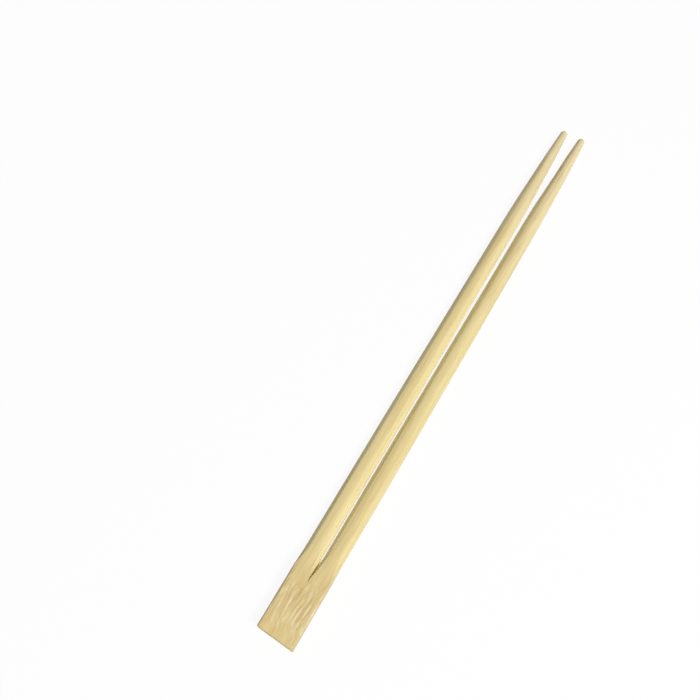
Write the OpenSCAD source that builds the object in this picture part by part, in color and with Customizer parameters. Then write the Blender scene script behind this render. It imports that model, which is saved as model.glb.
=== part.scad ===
/* [Blank] */
// Length of the blank, from the longest corner of the butt to the tips
blank_l = 203; // [180:1:240]
// Width of the blank, over both sticks
blank_w = 12.5; // [11:0.1:15]
// Thickness of the planed blank
blank_t = 4.8; // [4:0.1:5.6]
// Angle of the saw cut over the butt, out of square
butt_skew = 4.4; // [0:0.2:8]
// Width of the bevel that eases the long edges of the blank
edge_bevel = 0.45; // [0.2:0.05:0.6]

/* [Milled sticks] */
// Length of the joined head, from the longest corner of the butt to the start of the groove
head_l = 18.5; // [14:0.1:40]
// Width of the slit between the sticks
slit_w = 0.5; // [0.2:0.05:0.8]
// Height of the point on the cutter's blade, which passes the middle of the thickness so that the slit goes right through
blade_point_h = 0.5; // [0.2:0.05:0.8]
// Width of the planed face that is left on a stick beside the head
flat_w = 2.9; // [2:0.1:3.4]
// Height of the straight side that is left between an upper and a lower flank
side_h = 0.8; // [0.5:0.1:1.2]
// Radius of a flank, from the planed face to the side
flank_r = 7; // [5:0.1:10]
// Radius of the form cutter at the slit, which sets how the groove runs out in the head
cutter_r = 24; // [16:0.5:32]
// How much deeper the cutter runs at the tips than beside the head
cutter_sink = 0.55; // [0:0.05:0.6]

/* [Turned tips] */
// Length over which a stick narrows towards its tip
taper_l = 131; // [100:1:150]
// Length of the point, the steeper end of the taper
point_l = 36; // [20:1:45]
// Diameter of a stick where the point starts
point_d = 5.45; // [4:0.05:5.8]
// Diameter of a tip, where its end starts to round over
tip_d = 2.5; // [2:0.1:3.4]
// Radius that rounds over the end of a tip
tip_round_r = 0.8; // [0.3:0.1:0.9]

/* [Hidden] */
$fn = 96;
// How far a cut runs past the face that it leaves
overrun = 2;

// The butt is at -Y, the tips are at +Y, and heights count from the middle of the thickness.
half_t = blank_t / 2;
butt_y = -blank_l / 2;
tip_y = blank_l / 2;
stick_w = (blank_w - slit_w) / 2;
stick_x = (blank_w + slit_w) / 4;

// A flank is an arc from the edge of the planed face to the edge of the side, about a stick's own axis.
flank_top = [flat_w / 2, half_t];
flank_foot = [stick_w / 2, side_h / 2];
flank_chord = flank_foot - flank_top;
flank_out = [-flank_chord.y, flank_chord.x] / norm(flank_chord);
flank_depth = sqrt(pow(flank_r, 2) - pow(norm(flank_chord) / 2, 2));
flank_centre = (flank_top + flank_foot) / 2 - flank_out * flank_depth;

// The cutter lifts out of the face at the start of the groove, on an arc about its own axis.
run_out_l = sqrt(pow(cutter_r + blade_point_h, 2) - pow(cutter_r - half_t, 2));
cutter_y = butt_y + head_l + run_out_l;
cut_l = tip_y - cutter_y;
cut_slope = atan(cutter_sink / cut_l);

// The taper is turned about a stick's own axis, and leaves its full section without a step.
taper_y = tip_y - taper_l;
turn_r = max(norm(flank_top), norm(flank_foot));

// The planed strip's own section, with its four long edges eased.
module strip_section() {
    side_x = blank_w / 2;
    face_x = side_x - edge_bevel;
    side_z = half_t - edge_bevel;
    polygon([
        [side_x, -side_z], [side_x, side_z], [face_x, half_t], [-face_x, half_t],
        [-side_x, side_z], [-side_x, -side_z], [-face_x, -half_t], [face_x, -half_t]
    ]);
}

// The strip of bamboo, sawn off a little out of square at the butt.
module sawn_blank() {
    reach_x = blank_w / 2 + overrun;
    long_y = butt_y - overrun * tan(butt_skew);
    short_y = butt_y + (blank_w + overrun) * tan(butt_skew);
    intersection() {
        translate([0, tip_y, 0]) rotate([90, 0, 0]) linear_extrude(blank_l) strip_section();
        linear_extrude(blank_t + 2 * overrun, center = true)
            polygon([[-reach_x, short_y], [reach_x, long_y], [reach_x, tip_y + overrun], [-reach_x, tip_y + overrun]]);
    }
}

// Both flanks of a stick, carried on until they meet above its face.
module stick_outline() {
    intersection() {
        translate(flank_centre) circle(flank_r);
        mirror([1, 0]) translate(flank_centre) circle(flank_r);
    }
}

// The form cutter's own section: all that it takes off one face, and its pointed blade in the slit.
module cutter_section() {
    cutter_w = blank_w + 2 * overrun;
    cutter_h = half_t + overrun;
    blade_x = slit_w / 2;
    difference() {
        translate([-cutter_w / 2, 0]) square([cutter_w, cutter_h]);
        for (side = [-1, 1]) translate([side * stick_x, 0]) stick_outline();
    }
    polygon([[-blade_x, cutter_h], [-blade_x, 0], [0, -blade_point_h], [blade_x, 0], [blade_x, cutter_h]]);
}

// One pass of the form cutter: straight along the sticks, and round its axis where it lifts out of the head.
module cutter_pass() {
    translate([0, cutter_y, 0]) rotate([-cut_slope, 0, 0]) {
        rotate([90, 0, 180]) linear_extrude(cut_l + overrun) cutter_section();
        translate([0, 0, cutter_r]) rotate([0, 90, 180])
            rotate_extrude(angle = 90) translate([cutter_r, 0]) rotate(90) cutter_section();
    }
}

// The blank after a pass over each face.
module milled_blank() {
    difference() {
        sawn_blank();
        cutter_pass();
        mirror([0, 0, 1]) cutter_pass();
    }
}

// Half of a tip's section along its axis: the slow taper, the point and the rounded end.
module tip_section() {
    tip_r = tip_d / 2;
    round_y = taper_l - tip_round_r;
    polygon([[0, 0], [turn_r, 0], [point_d / 2, taper_l - point_l], [tip_r, round_y], [0, round_y]]);
    intersection() {
        square([tip_r, taper_l]);
        union() {
            square([tip_r - tip_round_r, taper_l]);
            translate([tip_r - tip_round_r, round_y]) circle(tip_round_r);
        }
    }
}

// What turning leaves: all of the blank up to the taper, and a round tip on each stick's axis.
module turned_envelope() {
    envelope_w = blank_w + 2 * overrun;
    envelope_t = blank_t + 2 * overrun;
    translate([-envelope_w / 2, butt_y - overrun, -envelope_t / 2])
        cube([envelope_w, taper_y - butt_y + overrun, envelope_t]);
    for (side = [-1, 1])
        translate([side * stick_x, taper_y, 0]) rotate([-90, 0, 0]) rotate_extrude() tip_section();
}

// Two sticks in one piece of bamboo, still joined at the head.
module chopstick_pair() {
    color("burlywood")
        translate([0, 0, half_t])
            intersection() {
                milled_blank();
                turned_envelope();
            }
}

chopstick_pair();
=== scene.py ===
"""The looks of a joined pair of bamboo chopsticks, lying on a pale floor in soft light."""

import math

import bpy
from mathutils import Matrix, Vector


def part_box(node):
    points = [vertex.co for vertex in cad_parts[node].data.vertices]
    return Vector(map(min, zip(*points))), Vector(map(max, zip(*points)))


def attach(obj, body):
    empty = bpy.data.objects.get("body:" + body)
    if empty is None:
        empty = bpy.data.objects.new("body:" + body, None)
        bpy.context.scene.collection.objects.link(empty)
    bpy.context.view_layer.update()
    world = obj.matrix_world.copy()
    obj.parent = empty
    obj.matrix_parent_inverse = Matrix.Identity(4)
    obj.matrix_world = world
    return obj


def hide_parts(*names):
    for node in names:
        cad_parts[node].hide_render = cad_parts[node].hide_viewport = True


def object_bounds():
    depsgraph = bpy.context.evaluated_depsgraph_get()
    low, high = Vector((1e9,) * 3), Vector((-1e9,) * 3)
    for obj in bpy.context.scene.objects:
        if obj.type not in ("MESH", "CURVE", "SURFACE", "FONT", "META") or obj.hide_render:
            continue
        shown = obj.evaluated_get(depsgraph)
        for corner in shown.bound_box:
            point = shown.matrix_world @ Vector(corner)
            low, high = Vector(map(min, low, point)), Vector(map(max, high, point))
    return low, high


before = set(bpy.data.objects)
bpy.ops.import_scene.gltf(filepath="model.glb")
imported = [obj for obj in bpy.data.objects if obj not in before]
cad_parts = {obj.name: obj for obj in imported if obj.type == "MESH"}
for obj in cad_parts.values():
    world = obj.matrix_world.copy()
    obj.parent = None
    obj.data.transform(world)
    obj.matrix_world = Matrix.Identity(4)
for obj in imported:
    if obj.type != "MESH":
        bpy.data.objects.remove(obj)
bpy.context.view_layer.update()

MM = 0.001
NODE = "chopstick_pair"

# The strip of bamboo: its width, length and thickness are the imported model's.
low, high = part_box(NODE)
WIDTH, LENGTH, THICKNESS = high - low
BUTT_SKEW = math.radians(4.4)
EDGE_BEVEL = 0.45 * MM

# The eased edge of the butt, in two steps: the share of it that each goes inwards, then outwards
BUTT_EASE = 0.12 * MM
BUTT_EASE_STEPS = ((0.3, 0.7), (0.7, 0.3))

# The milled sticks
HEAD_LENGTH = 18.5 * MM
SLIT_WIDTH = 0.5 * MM
FLAT_WIDTH = 2.9 * MM
SIDE_HEIGHT = 0.8 * MM
FLANK_RADIUS = 7.0 * MM
CUTTER_RADIUS = 24.0 * MM
CUTTER_SINK = 0.55 * MM
BLADE_POINT = 0.5 * MM

# The crown of a planed face: its fall at the face's edge, and where it ends, in half widths of the face
CROWN = 0.24 * MM
CROWN_REACH = 1.25

# The turned tips
# The blend rounds off the corner where the point starts, the bulge fills the point out, and the stray is
# how far the right one stands outwards. With facets of 0 the tips are round, and with 1 they stay as milled.
TAPER_LENGTH = 131.0 * MM
POINT_LENGTH = 36.0 * MM
POINT_RADIUS = 2.725 * MM
POINT_BLEND = 0.3 * MM
POINT_BULGE = 0.14 * MM
POINT_STRAY = 0.2 * MM
TIP_RADIUS = 1.25 * MM
TIP_ROUND = 0.8 * MM
TIP_FACETS = 0.8

# Two reliefs of the planed surface: the size of their grain along each axis, and their depth
WAVINESS_GRAIN = (9 * MM, 60 * MM, 9 * MM)
WAVINESS_DEPTH = 0.04 * MM
FIBRE_GRAIN = (0.45 * MM, 28 * MM, 0.45 * MM)
FIBRE_DEPTH = 0.025 * MM

# Places that follow from the sizes
# The sticks run along Y, and heights count from the middle of the thickness.
BUTT_Y = -LENGTH / 2
TIP_Y = LENGTH / 2
HALF_THICKNESS = THICKNESS / 2
STICK_WIDTH = (WIDTH - SLIT_WIDTH) / 2
STICK_X = (WIDTH + SLIT_WIDTH) / 4
BLADE_RADIUS = CUTTER_RADIUS + BLADE_POINT
GROOVE_Y = BUTT_Y + HEAD_LENGTH
CUTTER_Y = GROOVE_Y + math.sqrt(BLADE_RADIUS**2 - (CUTTER_RADIUS - HALF_THICKNESS) ** 2)
THROUGH_Y = CUTTER_Y - math.sqrt(BLADE_RADIUS**2 - CUTTER_RADIUS**2)
SINK_SLOPE = CUTTER_SINK / (TIP_Y - CUTTER_Y)
TAPER_Y = TIP_Y - TAPER_LENGTH
POINT_Y = TIP_Y - POINT_LENGTH
ROUND_Y = TIP_Y - TIP_ROUND

# A flank is an arc from the edge of the planed face to the edge of the side, about the stick's own axis.
FLANK_TOP = Vector((FLAT_WIDTH / 2, HALF_THICKNESS))
FLANK_FOOT = Vector((STICK_WIDTH / 2, SIDE_HEIGHT / 2))
FLANK_CHORD = FLANK_FOOT - FLANK_TOP
FLANK_OUT = Vector((-FLANK_CHORD.y, FLANK_CHORD.x)).normalized()
FLANK_DEPTH = math.sqrt(FLANK_RADIUS**2 - (FLANK_CHORD.length / 2) ** 2)
FLANK_CENTRE = (FLANK_TOP + FLANK_FOOT) / 2 - FLANK_OUT * FLANK_DEPTH
TURN_RADIUS = max(FLANK_TOP.length, FLANK_FOOT.length)

# Mesh steps
POINT_STEPS = 4
WALL_STEPS = 4
FLANK_STEPS = 18
FLAT_STEPS = 16
ROUND_STEPS = 6
CAP_SHARES = (0.5, 0)
ROW_STEP = 1.0 * MM
RUN_OUT_STEP = 0.25 * MM
MERGE = 0.001 * MM
SOFTENING = 0.5
SHARP_ANGLE = math.radians(40)


def between(start, end, share):
    return start + (end - start) * share


def spread(start, end, step):
    """Even places from start up to but without end, about a step apart."""
    count = max(1, round((end - start) / step))
    return [between(start, end, i / count) for i in range(count)]


def lesser(one, other, blend):
    """The lesser of two sizes, rounded off where they meet."""
    nearness = max(0, 1 - abs(one - other) / blend)
    return min(one, other) - blend / 4 * nearness**2


def flank_height(reach):
    """Height of the cutter's outline at a reach from a stick's axis."""
    return FLANK_CENTRE.y + math.sqrt(FLANK_RADIUS**2 - (reach - FLANK_CENTRE.x) ** 2)


def flank_reach(y):
    """Reach of a stick's flanks from its axis at y: less where the sunk cutter leaves no straight side."""
    sunk = max(SIDE_HEIGHT / 2, (y - CUTTER_Y) * SINK_SLOPE)
    return FLANK_CENTRE.x + math.sqrt(FLANK_RADIUS**2 - (sunk - FLANK_CENTRE.y) ** 2)


def milled(height, y):
    """Where a height of the cutter's outline passes at y: sunk towards the tips, lifted out over the head."""
    before = CUTTER_Y - y
    if before <= 0:
        return min(HALF_THICKNESS, height + before * SINK_SLOPE)
    swing = CUTTER_RADIUS - height
    if swing <= before:
        return HALF_THICKNESS
    return min(HALF_THICKNESS, CUTTER_RADIUS - math.sqrt(swing**2 - before**2))


def slit_opening(y):
    """Half of the width that the blade's point opens right through at y."""
    before = max(0, CUTTER_Y - y)
    reaching = CUTTER_RADIUS - math.sqrt(CUTTER_RADIUS**2 + before**2)
    return SLIT_WIDTH / 2 * max(0, 1 + reaching / BLADE_POINT)


def bevel_height(x):
    """Height of the strip's face at x: lower over the bevel of its long edge."""
    return HALF_THICKNESS - max(0, x - (WIDTH / 2 - EDGE_BEVEL))


def crowned_height(x, y):
    """Height of a stick's planed face at x: a little lower towards its flanks, and level on the head."""
    started = min(1, max(0, (y - GROOVE_Y) / (CUTTER_Y - GROOVE_Y)))
    reach = min(CROWN_REACH, abs(x - STICK_X) / (FLAT_WIDTH / 2))
    return HALF_THICKNESS - CROWN * started * reach**2


def turned_radius(y):
    """Radius that the turning leaves about a stick's axis at y, with no corner where the point starts."""
    if y >= ROUND_Y:
        return TIP_RADIUS - TIP_ROUND + math.sqrt(max(0, TIP_ROUND**2 - (y - ROUND_Y) ** 2))
    share = (y - POINT_Y) / (ROUND_Y - POINT_Y)
    slow = between(TURN_RADIUS, POINT_RADIUS, (y - TAPER_Y) / (POINT_Y - TAPER_Y))
    steep = between(POINT_RADIUS, TIP_RADIUS, share)
    if share > 0:
        steep += POINT_BULGE * math.sin(math.pi * share**2)
    return lesser(slow, steep, POINT_BLEND)


def top_columns():
    """Places across the upper face of the right stick: inner flank, planed face, outer flank."""
    start = math.asin((FLANK_TOP.x - FLANK_CENTRE.x) / FLANK_RADIUS)
    end = math.asin((FLANK_FOOT.x - FLANK_CENTRE.x) / FLANK_RADIUS)
    turns = [between(start, end, i / FLANK_STEPS) for i in range(FLANK_STEPS)]
    reaches = [FLANK_CENTRE.x + FLANK_RADIUS * math.sin(turn) for turn in turns]
    flat = [between(-FLAT_WIDTH / 2, FLAT_WIDTH / 2, i / FLAT_STEPS) for i in range(1, FLAT_STEPS)]
    return [STICK_X + reach for reach in [-r for r in reversed(reaches)] + flat + reaches]


def section(y, columns):
    """The upper right quarter of the pair's section at y, from the slit to the side, as (x, z) places."""
    slit_x = SLIT_WIDTH / 2
    foot_z = max(0, milled(0, y))
    wall_z = max(0, milled(SIDE_HEIGHT / 2, y))
    side_z = min(wall_z, bevel_height(WIDTH / 2))
    point_xs = [between(slit_opening(y), slit_x, i / POINT_STEPS) for i in range(POINT_STEPS)]
    places = [(x, max(0, milled(BLADE_POINT * (x / slit_x - 1), y))) for x in point_xs]
    places += [(slit_x, between(foot_z, wall_z, i / WALL_STEPS)) for i in range(WALL_STEPS + 1)]
    for x in columns:
        top_z = min(milled(flank_height(abs(x - STICK_X)), y), bevel_height(x), crowned_height(x, y))
        places.append((x, max(0, top_z)))
    places += [(WIDTH / 2, between(side_z, 0, i / WALL_STEPS)) for i in range(WALL_STEPS + 1)]
    if y > CUTTER_Y:
        reach = flank_reach(y)
        places = [(min(STICK_X + reach, max(STICK_X - reach, x)), z) for x, z in places]
    return places


def turned(places, radius):
    """A section brought in to a radius about the stick's axis, with a trace of its flat and flanks left."""
    result = []
    for x, z in places:
        arm = Vector((x - STICK_X, z))
        limit = radius * between(1, arm.length / TURN_RADIUS, TIP_FACETS)
        if arm.length > limit:
            arm = arm.normalized() * limit
        result.append((STICK_X + arm.x, arm.y))
    return result


def rows():
    """All sections from the butt to the tips, each as its y and a list of places."""
    columns = top_columns()
    stations = spread(BUTT_Y + BUTT_EASE, GROOVE_Y, ROW_STEP)
    stations += spread(GROOVE_Y, THROUGH_Y, RUN_OUT_STEP)
    stations += spread(THROUGH_Y, CUTTER_Y, RUN_OUT_STEP)
    stations += spread(CUTTER_Y, TAPER_Y, ROW_STEP)
    result = [(y, section(y, columns)) for y in stations]
    tip_stations = spread(TAPER_Y, POINT_Y, ROW_STEP) + spread(POINT_Y, ROUND_Y, ROW_STEP)
    arcs = [math.pi / 2 * i / ROUND_STEPS for i in range(ROUND_STEPS + 1)]
    tip_stations += [ROUND_Y + TIP_ROUND * math.sin(arc) for arc in arcs]
    result += [(y, turned(section(y, columns), turned_radius(y))) for y in tip_stations]
    cap_radius = TIP_RADIUS - TIP_ROUND
    result += [(TIP_Y, turned(section(TIP_Y, columns), cap_radius * share)) for share in CAP_SHARES]
    return result


def apply_modifier(piece, kind, **settings):
    modifier = piece.modifiers.new(kind.title(), kind)
    for name, value in settings.items():
        setattr(modifier, name, value)
    bpy.ops.object.modifier_apply(modifier=modifier.name)


def apply_relief(piece, name, grain, depth):
    """Presses a cloudy relief into a piece, with its grain drawn out along each axis."""
    stretch = bpy.data.objects.new(name, None)
    stretch.scale = grain
    bpy.context.collection.objects.link(stretch)
    bpy.context.view_layer.update()
    clouds = bpy.data.textures.new(name, "CLOUDS")
    clouds.noise_scale = 1
    apply_modifier(
        piece,
        "DISPLACE",
        texture=clouds,
        texture_coords="OBJECT",
        texture_coords_object=stretch,
        strength=depth,
    )
    bpy.data.objects.remove(stretch)
    bpy.data.textures.remove(clouds)


def wrap_quarter(sections):
    """A flat grid wrapped round the upper right quarter of the pair, with a row for each section."""
    last_row = len(sections) - 1
    last_column = len(sections[0][1]) - 1
    bpy.ops.mesh.primitive_grid_add(x_subdivisions=last_column, y_subdivisions=last_row, size=1)
    piece = bpy.context.object
    # The unit grid reaches from -0.5 to 0.5 both ways.
    for vertex in piece.data.vertices:
        row = round((vertex.co.y + 0.5) * last_row)
        column = round((vertex.co.x + 0.5) * last_column)
        y, places = sections[row]
        x, z = places[column]
        vertex.co = (x, y, z)
    bpy.ops.object.mode_set(mode="EDIT")
    bpy.ops.mesh.select_all(action="SELECT")
    bpy.ops.mesh.remove_doubles(threshold=MERGE)
    bpy.ops.object.mode_set(mode="OBJECT")
    return piece


def skew_head(piece):
    """Draws the head's rows to the slant of the saw cut, less and less up to the groove."""
    for vertex in piece.data.vertices:
        share = max(0, (GROOVE_Y - vertex.co.y) / HEAD_LENGTH)
        vertex.co.y += share * (WIDTH / 2 - vertex.co.x) * math.tan(BUTT_SKEW)


def stray_point(piece):
    """Lets the point of the right stick stand outwards, in full from half of its length."""
    for vertex in piece.data.vertices:
        if vertex.co.x > 0 and vertex.co.y > POINT_Y:
            vertex.co.x += POINT_STRAY * min(1, (vertex.co.y - POINT_Y) / (POINT_LENGTH / 2))


def close_butt():
    """Closes the open butt with a face, eases its edges and lifts the pair until it lies on z = 0."""
    bpy.ops.object.mode_set(mode="EDIT")
    bpy.ops.mesh.select_mode(type="EDGE")
    bpy.ops.mesh.select_all(action="DESELECT")
    bpy.ops.mesh.select_non_manifold()
    bpy.ops.mesh.edge_face_add()
    bpy.ops.mesh.select_mode(type="FACE")
    for inwards, outwards in BUTT_EASE_STEPS:
        bpy.ops.mesh.inset(thickness=inwards * BUTT_EASE, depth=outwards * BUTT_EASE)
    bpy.ops.mesh.select_all(action="SELECT")
    bpy.ops.mesh.normals_make_consistent(inside=False)
    bpy.ops.transform.translate(value=(0, 0, HALF_THICKNESS))
    bpy.ops.object.mode_set(mode="OBJECT")


def model_bamboo():
    """The pair as one mesh: a quarter of it, mirrored across and over, and closed at the butt."""
    bpy.ops.object.select_all(action="DESELECT")
    piece = wrap_quarter(rows())
    piece.name = "bamboo_pair"
    piece.data.name = "bamboo_pair"
    apply_modifier(piece, "MIRROR", use_axis=(True, False, True), merge_threshold=MERGE)
    apply_modifier(piece, "SMOOTH", factor=SOFTENING, iterations=1, use_y=False)
    skew_head(piece)
    stray_point(piece)
    close_butt()
    apply_relief(piece, "waviness", WAVINESS_GRAIN, WAVINESS_DEPTH)
    apply_relief(piece, "fibres", FIBRE_GRAIN, FIBRE_DEPTH)
    bpy.ops.object.shade_smooth_by_angle(angle=SHARP_ANGLE)
    return piece


class Value:
    """One socket of a finish's nodes, on which Python's operators add Math nodes."""

    def __init__(self, finish, socket):
        self.finish = finish
        self.socket = socket

    def math(self, operation, *values):
        return self.finish.node("ShaderNodeMath", {"operation": operation}, dict(enumerate(values)))

    def __add__(self, other):
        return self.math("ADD", self, other)

    __radd__ = __add__

    def __sub__(self, other):
        return self.math("SUBTRACT", self, other)

    def __rsub__(self, other):
        return self.math("SUBTRACT", other, self)

    def __mul__(self, other):
        return self.math("MULTIPLY", self, other)

    __rmul__ = __mul__

    def __abs__(self):
        return self.math("ABSOLUTE", self)


class Finish:
    """The nodes of one material or of the world."""

    def __init__(self, tree):
        self.tree = tree
        tree.nodes.clear()

    def node(self, kind, settings=None, inputs=None, output=0):
        """Adds a node with its settings and its sockets' values or links, and returns one of its outputs."""
        made = self.tree.nodes.new(kind)
        for name, value in (settings or {}).items():
            setattr(made, name, value)
        for name, value in (inputs or {}).items():
            if isinstance(value, Value):
                self.tree.links.new(value.socket, made.inputs[name])
            else:
                made.inputs[name].default_value = value
        return Value(self, made.outputs[output]) if made.outputs else None

    def mix(self, start, end, share):
        """A colour between two colours."""
        return self.node("ShaderNodeMix", {"data_type": "RGBA"}, {0: share, 6: start, 7: end}, output=2)

    def scaled(self, vector, scales):
        """A vector with each part multiplied."""
        return self.node("ShaderNodeVectorMath", {"operation": "MULTIPLY"}, {0: vector, 1: scales})

    def moved(self, vector, shift):
        """A vector with another one added."""
        return self.node("ShaderNodeVectorMath", {"operation": "ADD"}, {0: vector, 1: shift})

    def smooth(self, value, start, end):
        """A value eased from 0 at start to 1 at end."""
        limits = {"Value": value, "From Min": start, "From Max": end}
        return self.node("ShaderNodeMapRange", {"interpolation_type": "SMOOTHSTEP"}, limits)

    def noise(self, vector, detail=2.0, output="Fac"):
        """Cloudy noise of one grain, about 0.5."""
        inputs = {"Vector": vector, "Scale": 1.0, "Detail": detail}
        return self.node("ShaderNodeTexNoise", None, inputs, output)

    def cells(self, vector):
        """Distance from the nearest of many scattered places."""
        return self.node("ShaderNodeTexVoronoi", None, {"Vector": vector, "Scale": 1.0}, "Distance")


def colour(red, green, blue):
    """A colour of a screen, 0 to 255, as Blender's linear one."""
    shares = [part / 255 for part in (red, green, blue)]
    return [s / 12.92 if s <= 0.04045 else ((s + 0.055) / 1.055) ** 2.4 for s in shares] + [1.0]


# Where the bamboo's tints start and are full, in millimetres from the place in each name
# A name that ends in Y counts along the pair from its middle.
# Painted sheen: the flanks' tint makes the milled flanks paler and whiter
FLANK_SHEEN_UNDER_FACE = (0.1, 0.45)
# Painted shade: a darker band along the head's left side, which faces away from the key light
LEFT_SHADE_FROM_SIDE = (1.45, 0.85)
LEFT_SHADE_FROM_BUTT = (1.0, 12.0)
RIGHT_EDGE_FROM_SIDE = (0.75, 0.25)
RIGHT_SIDE_FROM_MIDDLE = (2.5, 6.0)
# Painted light: a pale tint on the slit's walls and the foot of the flanks beside it, where the groove lies
# in shade
SLIT_LIGHT_FROM_MIDDLE = (1.6, 0.5)
SLIT_LIGHT_NEAR_TIPS_Y = (95.0, 78.0)
SLIT_LIGHT_Y = (-10.0, 45.0)
SLIT_LIGHT_SHARES = (0.4, 0.85)
TIPS_START_Y = 10.0
ENDS_FROM_SAW_CUT = (0.14, 0.04)
ENDS_FROM_TIPS = (0.3, 0.05)
JOINT_FROM_BUTT = 11.0
JOINT_REACH = (9.0, 3.5)

# The grain's patterns, in waves for each millimetre across, along and up
SWAY_WAVES = (0.08, 0.03, 0.08)
SWAY_REACH = (1.2, 0.0, 1.2)
CURL_WAVES = (0.3, 0.1, 0.3)
CURL_REACH = 1.3
TONE_WAVES = (0.45, 0.018, 0.45)
FIBRE_WAVES = (4.5, 0.09, 4.5)
STRAND_WAVES = (1.1, 0.016, 1.1)
BUNDLE_WAVES = (1.9, 0.016, 1.9)
FIGURE_WAVES = (1.35, 0.11, 1.35)
FINE_DETAIL = 3.0

# The values of a pattern at which its tint starts and is full
TONE_RANGE = (0.26, 0.74)
STRAND_RANGE = (0.42, 0.12)
BUNDLE_RANGE = (0.5, 0.1)
PALE_FIBRE_RANGE = (0.5, 0.72)
DARK_FIBRE_RANGE = (0.48, 0.26)
PALE_FIGURE_RANGE = (0.52, 0.64)
DARK_FIGURE_RANGE = (0.46, 0.34)

# The bamboo's own two tones, and the tints laid over them in this order, with painted shade, sheen and light
# among them: zone, strength and colour
DARK_STRAW = colour(217, 195, 134)
PALE_STRAW = colour(232, 214, 157)
TINTS = (
    ("head", 0.38, colour(208, 180, 122)),
    # painted sheen on the flanks
    ("flanks", 0.45, colour(230, 219, 164)),
    ("right side", 0.3, colour(208, 186, 128)),
    # painted shade along the head's left side
    ("painted left shade", 0.5, colour(168, 152, 114)),
    ("right edge", 0.35, colour(168, 152, 114)),
    # painted light in the slit
    ("painted slit light", 1.0, colour(246, 237, 190)),
    ("tips", 0.4, colour(226, 209, 180)),
    ("strands", 0.35, colour(199, 172, 112)),
    ("pale fibres", 0.45, colour(240, 222, 170)),
    ("dark fibres", 0.4, colour(192, 163, 104)),
    ("pale figure", 0.7, colour(243, 227, 192)),
    ("dark figure", 0.55, colour(188, 160, 114)),
    ("ends", 0.4, colour(196, 170, 116)),
    ("end bundles", 0.4, colour(140, 108, 66)),
)

# The planed surface
FIBRE_RISE = 0.6
STRAND_FALL = 0.25
BUMP_STRENGTH = 0.35
BUMP_DISTANCE = 0.06 * MM
ROUGHNESS = 0.62
FIBRE_GLOSS = 0.2
SPECULAR = 0.35


def part_zones(finish, place):
    """The parts of the pair that differ in tint or get painted shade, sheen or light, each as a mask from 0
    to 1.
    """
    across, along, up = [finish.node("ShaderNodeSeparateXYZ", None, {0: place}, axis) for axis in "XYZ"]
    under_face = HALF_THICKNESS / MM - abs(up - HALF_THICKNESS / MM)
    from_left = across - low.x / MM
    from_right = high.x / MM - across
    from_butt = along - BUTT_Y / MM
    from_tips = TIP_Y / MM - along
    from_saw_cut = from_butt - from_right * math.tan(BUTT_SKEW)

    sticks = finish.smooth(along, GROOVE_Y / MM, CUTTER_Y / MM)
    head = 1 - sticks
    # Painted shade along the head's left side, fading in from the butt
    left_edge_shade = finish.smooth(from_left, *LEFT_SHADE_FROM_SIDE) * head
    # Painted light on the slit's walls and the lower flanks beside them, fading out towards the tips
    walls = finish.smooth(abs(across), *SLIT_LIGHT_FROM_MIDDLE) * sticks * finish.smooth(along, *SLIT_LIGHT_NEAR_TIPS_Y)
    slit_light_strength = between(*SLIT_LIGHT_SHARES, finish.smooth(along, *SLIT_LIGHT_Y))
    return {
        "head": head,
        # Painted sheen on the flanks below the planed faces
        "flanks": finish.smooth(under_face, *FLANK_SHEEN_UNDER_FACE) * sticks,
        "painted left shade": left_edge_shade * finish.smooth(from_butt, *LEFT_SHADE_FROM_BUTT),
        "right edge": finish.smooth(from_right, *RIGHT_EDGE_FROM_SIDE) * head,
        "right side": finish.smooth(across, *RIGHT_SIDE_FROM_MIDDLE),
        "painted slit light": walls * slit_light_strength,
        "tips": finish.smooth(along, TIPS_START_Y, TIP_Y / MM),
        "ends": finish.smooth(from_saw_cut, *ENDS_FROM_SAW_CUT) + finish.smooth(from_tips, *ENDS_FROM_TIPS),
        "joint": finish.smooth(abs(from_butt - JOINT_FROM_BUTT), *JOINT_REACH),
    }


def along_grain(finish, place, joint):
    """A place in the grain, which sways along the sticks and curls at the joint."""
    sway = finish.noise(finish.scaled(place, SWAY_WAVES), output="Color")
    curl = finish.noise(finish.scaled(place, CURL_WAVES), output="Color")
    sway = finish.scaled(sway, SWAY_REACH)
    curl = finish.node("ShaderNodeVectorMath", {"operation": "SCALE"}, {0: curl, "Scale": joint * CURL_REACH})
    return finish.moved(finish.moved(place, sway), curl)


def bamboo_colour(finish, tone, zones):
    """The bamboo's own two tones, with each zone's tint laid over them, painted shade, sheen and light among
    them.
    """
    straw = finish.mix(DARK_STRAW, PALE_STRAW, finish.smooth(tone, *TONE_RANGE))
    for zone, strength, tint in TINTS:
        straw = finish.mix(straw, tint, zones[zone] * strength)
    return straw


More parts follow.
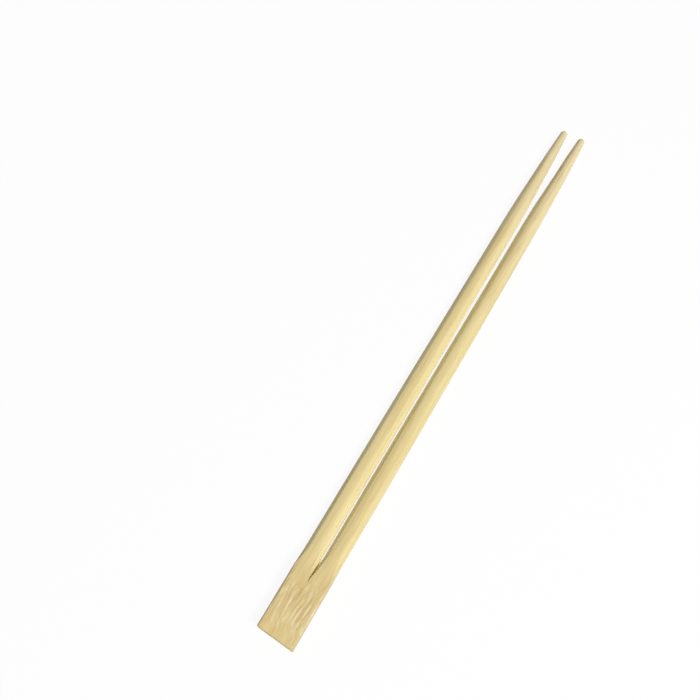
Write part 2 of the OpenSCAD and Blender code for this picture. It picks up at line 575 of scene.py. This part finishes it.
def bamboo_finish():
    """Planed bamboo: long fibres, darker strands, the wavy figure of a joint across the head, and painted
    shade, sheen and light.
    """
    material = bpy.data.materials.new("planed_bamboo")
    material.use_nodes = True
    finish = Finish(material.node_tree)
    place = finish.scaled(finish.node("ShaderNodeTexCoord", output="Object"), (1 / MM, 1 / MM, 1 / MM))
    zones = part_zones(finish, place)
    grain = along_grain(finish, place, zones["joint"])

    tone = finish.noise(finish.scaled(grain, TONE_WAVES), FINE_DETAIL)
    fibre = finish.noise(finish.scaled(grain, FIBRE_WAVES), FINE_DETAIL)
    figure = finish.noise(finish.scaled(grain, FIGURE_WAVES))
    strand = finish.smooth(finish.cells(finish.scaled(grain, STRAND_WAVES)), *STRAND_RANGE)
    bundle = finish.smooth(finish.cells(finish.scaled(grain, BUNDLE_WAVES)), *BUNDLE_RANGE)
    zones["strands"] = strand
    zones["pale fibres"] = finish.smooth(fibre, *PALE_FIBRE_RANGE)
    zones["dark fibres"] = finish.smooth(fibre, *DARK_FIBRE_RANGE)
    zones["pale figure"] = finish.smooth(figure, *PALE_FIGURE_RANGE) * zones["joint"]
    zones["dark figure"] = finish.smooth(figure, *DARK_FIGURE_RANGE) * zones["joint"]
    zones["end bundles"] = bundle * zones["ends"]

    relief = fibre * FIBRE_RISE - strand * STRAND_FALL
    bump_inputs = {"Strength": BUMP_STRENGTH, "Distance": BUMP_DISTANCE, "Height": relief}
    surface_inputs = {
        "Base Color": bamboo_colour(finish, tone, zones),
        "Roughness": ROUGHNESS - fibre * FIBRE_GLOSS,
        "Normal": finish.node("ShaderNodeBump", None, bump_inputs),
        "Specular IOR Level": SPECULAR,
    }
    surface = finish.node("ShaderNodeBsdfPrincipled", None, surface_inputs)
    finish.node("ShaderNodeOutputMaterial", None, {"Surface": surface})
    return material


# The floor and the light, in metres, watts and degrees
WHITE = (1, 1, 1, 1)
FLOOR_SIZE = 4.0
FLOOR_COLOUR = (0.9, 0.9, 0.9, 1)
FLOOR_LIGHTENING = (0.92, 1.0)
FLOOR_FADE = (0.25, 1.2)
FILL_STRENGTH = 0.275
WHITE_STRENGTH = 1.0
KEY_POWER = 12.55
KEY_DISTANCE = 1.2
KEY_SIZE = 0.4
KEY_AZIMUTH = 70.0
KEY_ELEVATION = 53.0


def seen_rays(finish):
    """1 for what the camera sees, straight or in a reflection, and 0 for light that falls on the pair."""
    kinds = ("Is Camera Ray", "Is Glossy Ray", "Is Transmission Ray")
    camera, glossy, through = [finish.node("ShaderNodeLightPath", output=kind) for kind in kinds]
    return finish.node("ShaderNodeClamp", None, {0: camera + glossy + through})


def floor_finish():
    """A matt white floor that takes the pair's shadow and lightens it for the camera, more so far away."""
    material = bpy.data.materials.new("pale_floor")
    material.use_nodes = True
    finish = Finish(material.node_tree)
    paper = finish.node("ShaderNodeBsdfDiffuse", None, {"Color": FLOOR_COLOUR})
    white = finish.node("ShaderNodeEmission", None, {"Color": WHITE, "Strength": WHITE_STRENGTH})
    place = finish.node("ShaderNodeTexCoord", output="Object")
    distance = finish.node("ShaderNodeVectorMath", {"operation": "LENGTH"}, {0: place}, "Value")
    lightening = between(*FLOOR_LIGHTENING, finish.smooth(distance, *FLOOR_FADE))
    share = seen_rays(finish) * lightening
    surface = finish.node("ShaderNodeMixShader", None, {0: share, 1: paper, 2: white})
    finish.node("ShaderNodeOutputMaterial", None, {"Surface": surface})
    return material


def direction(azimuth, elevation):
    """From the object towards a viewer. Azimuth 0 stands at -Y and 90 at +X, in degrees."""
    turn = math.radians(azimuth)
    rise = math.radians(elevation)
    return Vector((math.sin(turn) * math.cos(rise), -math.cos(turn) * math.cos(rise), math.sin(rise)))


def lay_floor(height):
    bpy.ops.object.select_all(action="DESELECT")
    bpy.ops.mesh.primitive_plane_add(size=FLOOR_SIZE, location=(0, 0, height))
    floor = bpy.context.object
    floor.name = "floor"
    floor.data.materials.append(floor_finish())


def light_room():
    """Soft light from all round, which the camera sees as plain white."""
    world = bpy.data.worlds.new("soft_room")
    world.use_nodes = True
    bpy.context.scene.world = world
    finish = Finish(world.node_tree)
    room = finish.node("ShaderNodeBackground", None, {"Color": WHITE, "Strength": FILL_STRENGTH})
    white = finish.node("ShaderNodeBackground", None, {"Color": WHITE, "Strength": WHITE_STRENGTH})
    surface = finish.node("ShaderNodeMixShader", None, {0: seen_rays(finish), 1: room, 2: white})
    finish.node("ShaderNodeOutputWorld", None, {"Surface": surface})


def hang_key_light():
    lamp = bpy.data.lights.new("key_light", "AREA")
    lamp.energy = KEY_POWER
    lamp.size = KEY_SIZE
    key = bpy.data.objects.new("key_light", lamp)
    towards = direction(KEY_AZIMUTH, KEY_ELEVATION)
    key.location = towards * KEY_DISTANCE
    key.rotation_euler = towards.to_track_quat("Z", "Y").to_euler()
    bpy.context.collection.objects.link(key)


# The photograph's camera, found from the outline of the pair
PHOTO_PIXELS = 700
FOCAL_PIXELS = 1000
SENSOR_WIDTH = 36.0
CAMERA_AZIMUTH = 30.23
CAMERA_ELEVATION = 66.53
CAMERA_DISTANCE = 328.4 * MM
CAMERA_CLIP = 10 * MM
LOOK_AT = Vector((-27.62, -10.36, 0)) * MM


def aim_camera():
    lens = bpy.data.cameras.new("photo_camera")
    lens.sensor_width = SENSOR_WIDTH
    lens.lens = FOCAL_PIXELS / PHOTO_PIXELS * SENSOR_WIDTH
    lens.clip_start = CAMERA_CLIP
    camera = bpy.data.objects.new("photo_camera", lens)
    towards = direction(CAMERA_AZIMUTH, CAMERA_ELEVATION)
    camera.location = LOOK_AT + towards * CAMERA_DISTANCE
    camera.rotation_euler = towards.to_track_quat("Z", "Y").to_euler()
    bpy.context.collection.objects.link(camera)
    bpy.context.scene.camera = camera


bpy.context.scene.view_settings.view_transform = "Standard"
bamboo = model_bamboo()
bamboo.data.materials.append(bamboo_finish())
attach(bamboo, "root")
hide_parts(NODE)
visual_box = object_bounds()
lay_floor(visual_box[0].z)
light_room()
hang_key_light()
aim_camera()
